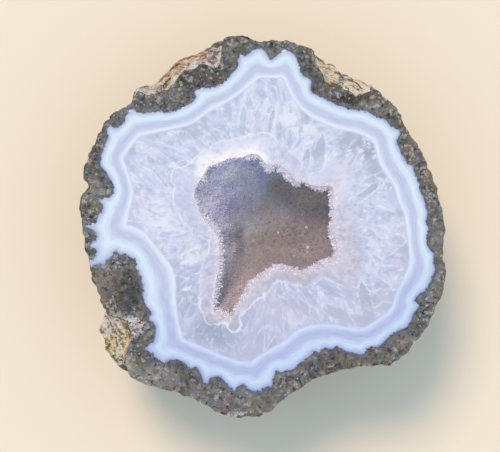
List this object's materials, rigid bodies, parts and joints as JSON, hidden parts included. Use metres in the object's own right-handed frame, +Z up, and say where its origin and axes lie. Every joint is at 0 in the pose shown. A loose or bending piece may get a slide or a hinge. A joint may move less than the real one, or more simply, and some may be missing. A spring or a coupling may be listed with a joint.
{
  "type": "geode",
  "caption": "Half of a geode with a sawn and polished face, banded blue-white agate round pale quartz, and a hollow lined with small quartz points.",
  "frame": {"origin": "middle of the flat patch underneath, where the stone rests", "axes": "+Z up, square to the sawn face, which is level at the top; +X to the right and +Y away as the sawn face is seen in the picture from above"},
  "size_m": [0.0916, 0.0961, 0.042],
  "materials": {
    "stone": "rough dark rock outside, polished blue-white agate and milky quartz on the sawn face",
    "druse": "sparkling crust of small quartz points"
  },
  "bodies": {
    "root": {"geode_stone": "stone", "crystal_crust": "druse"}
  },
  "joints": []
}
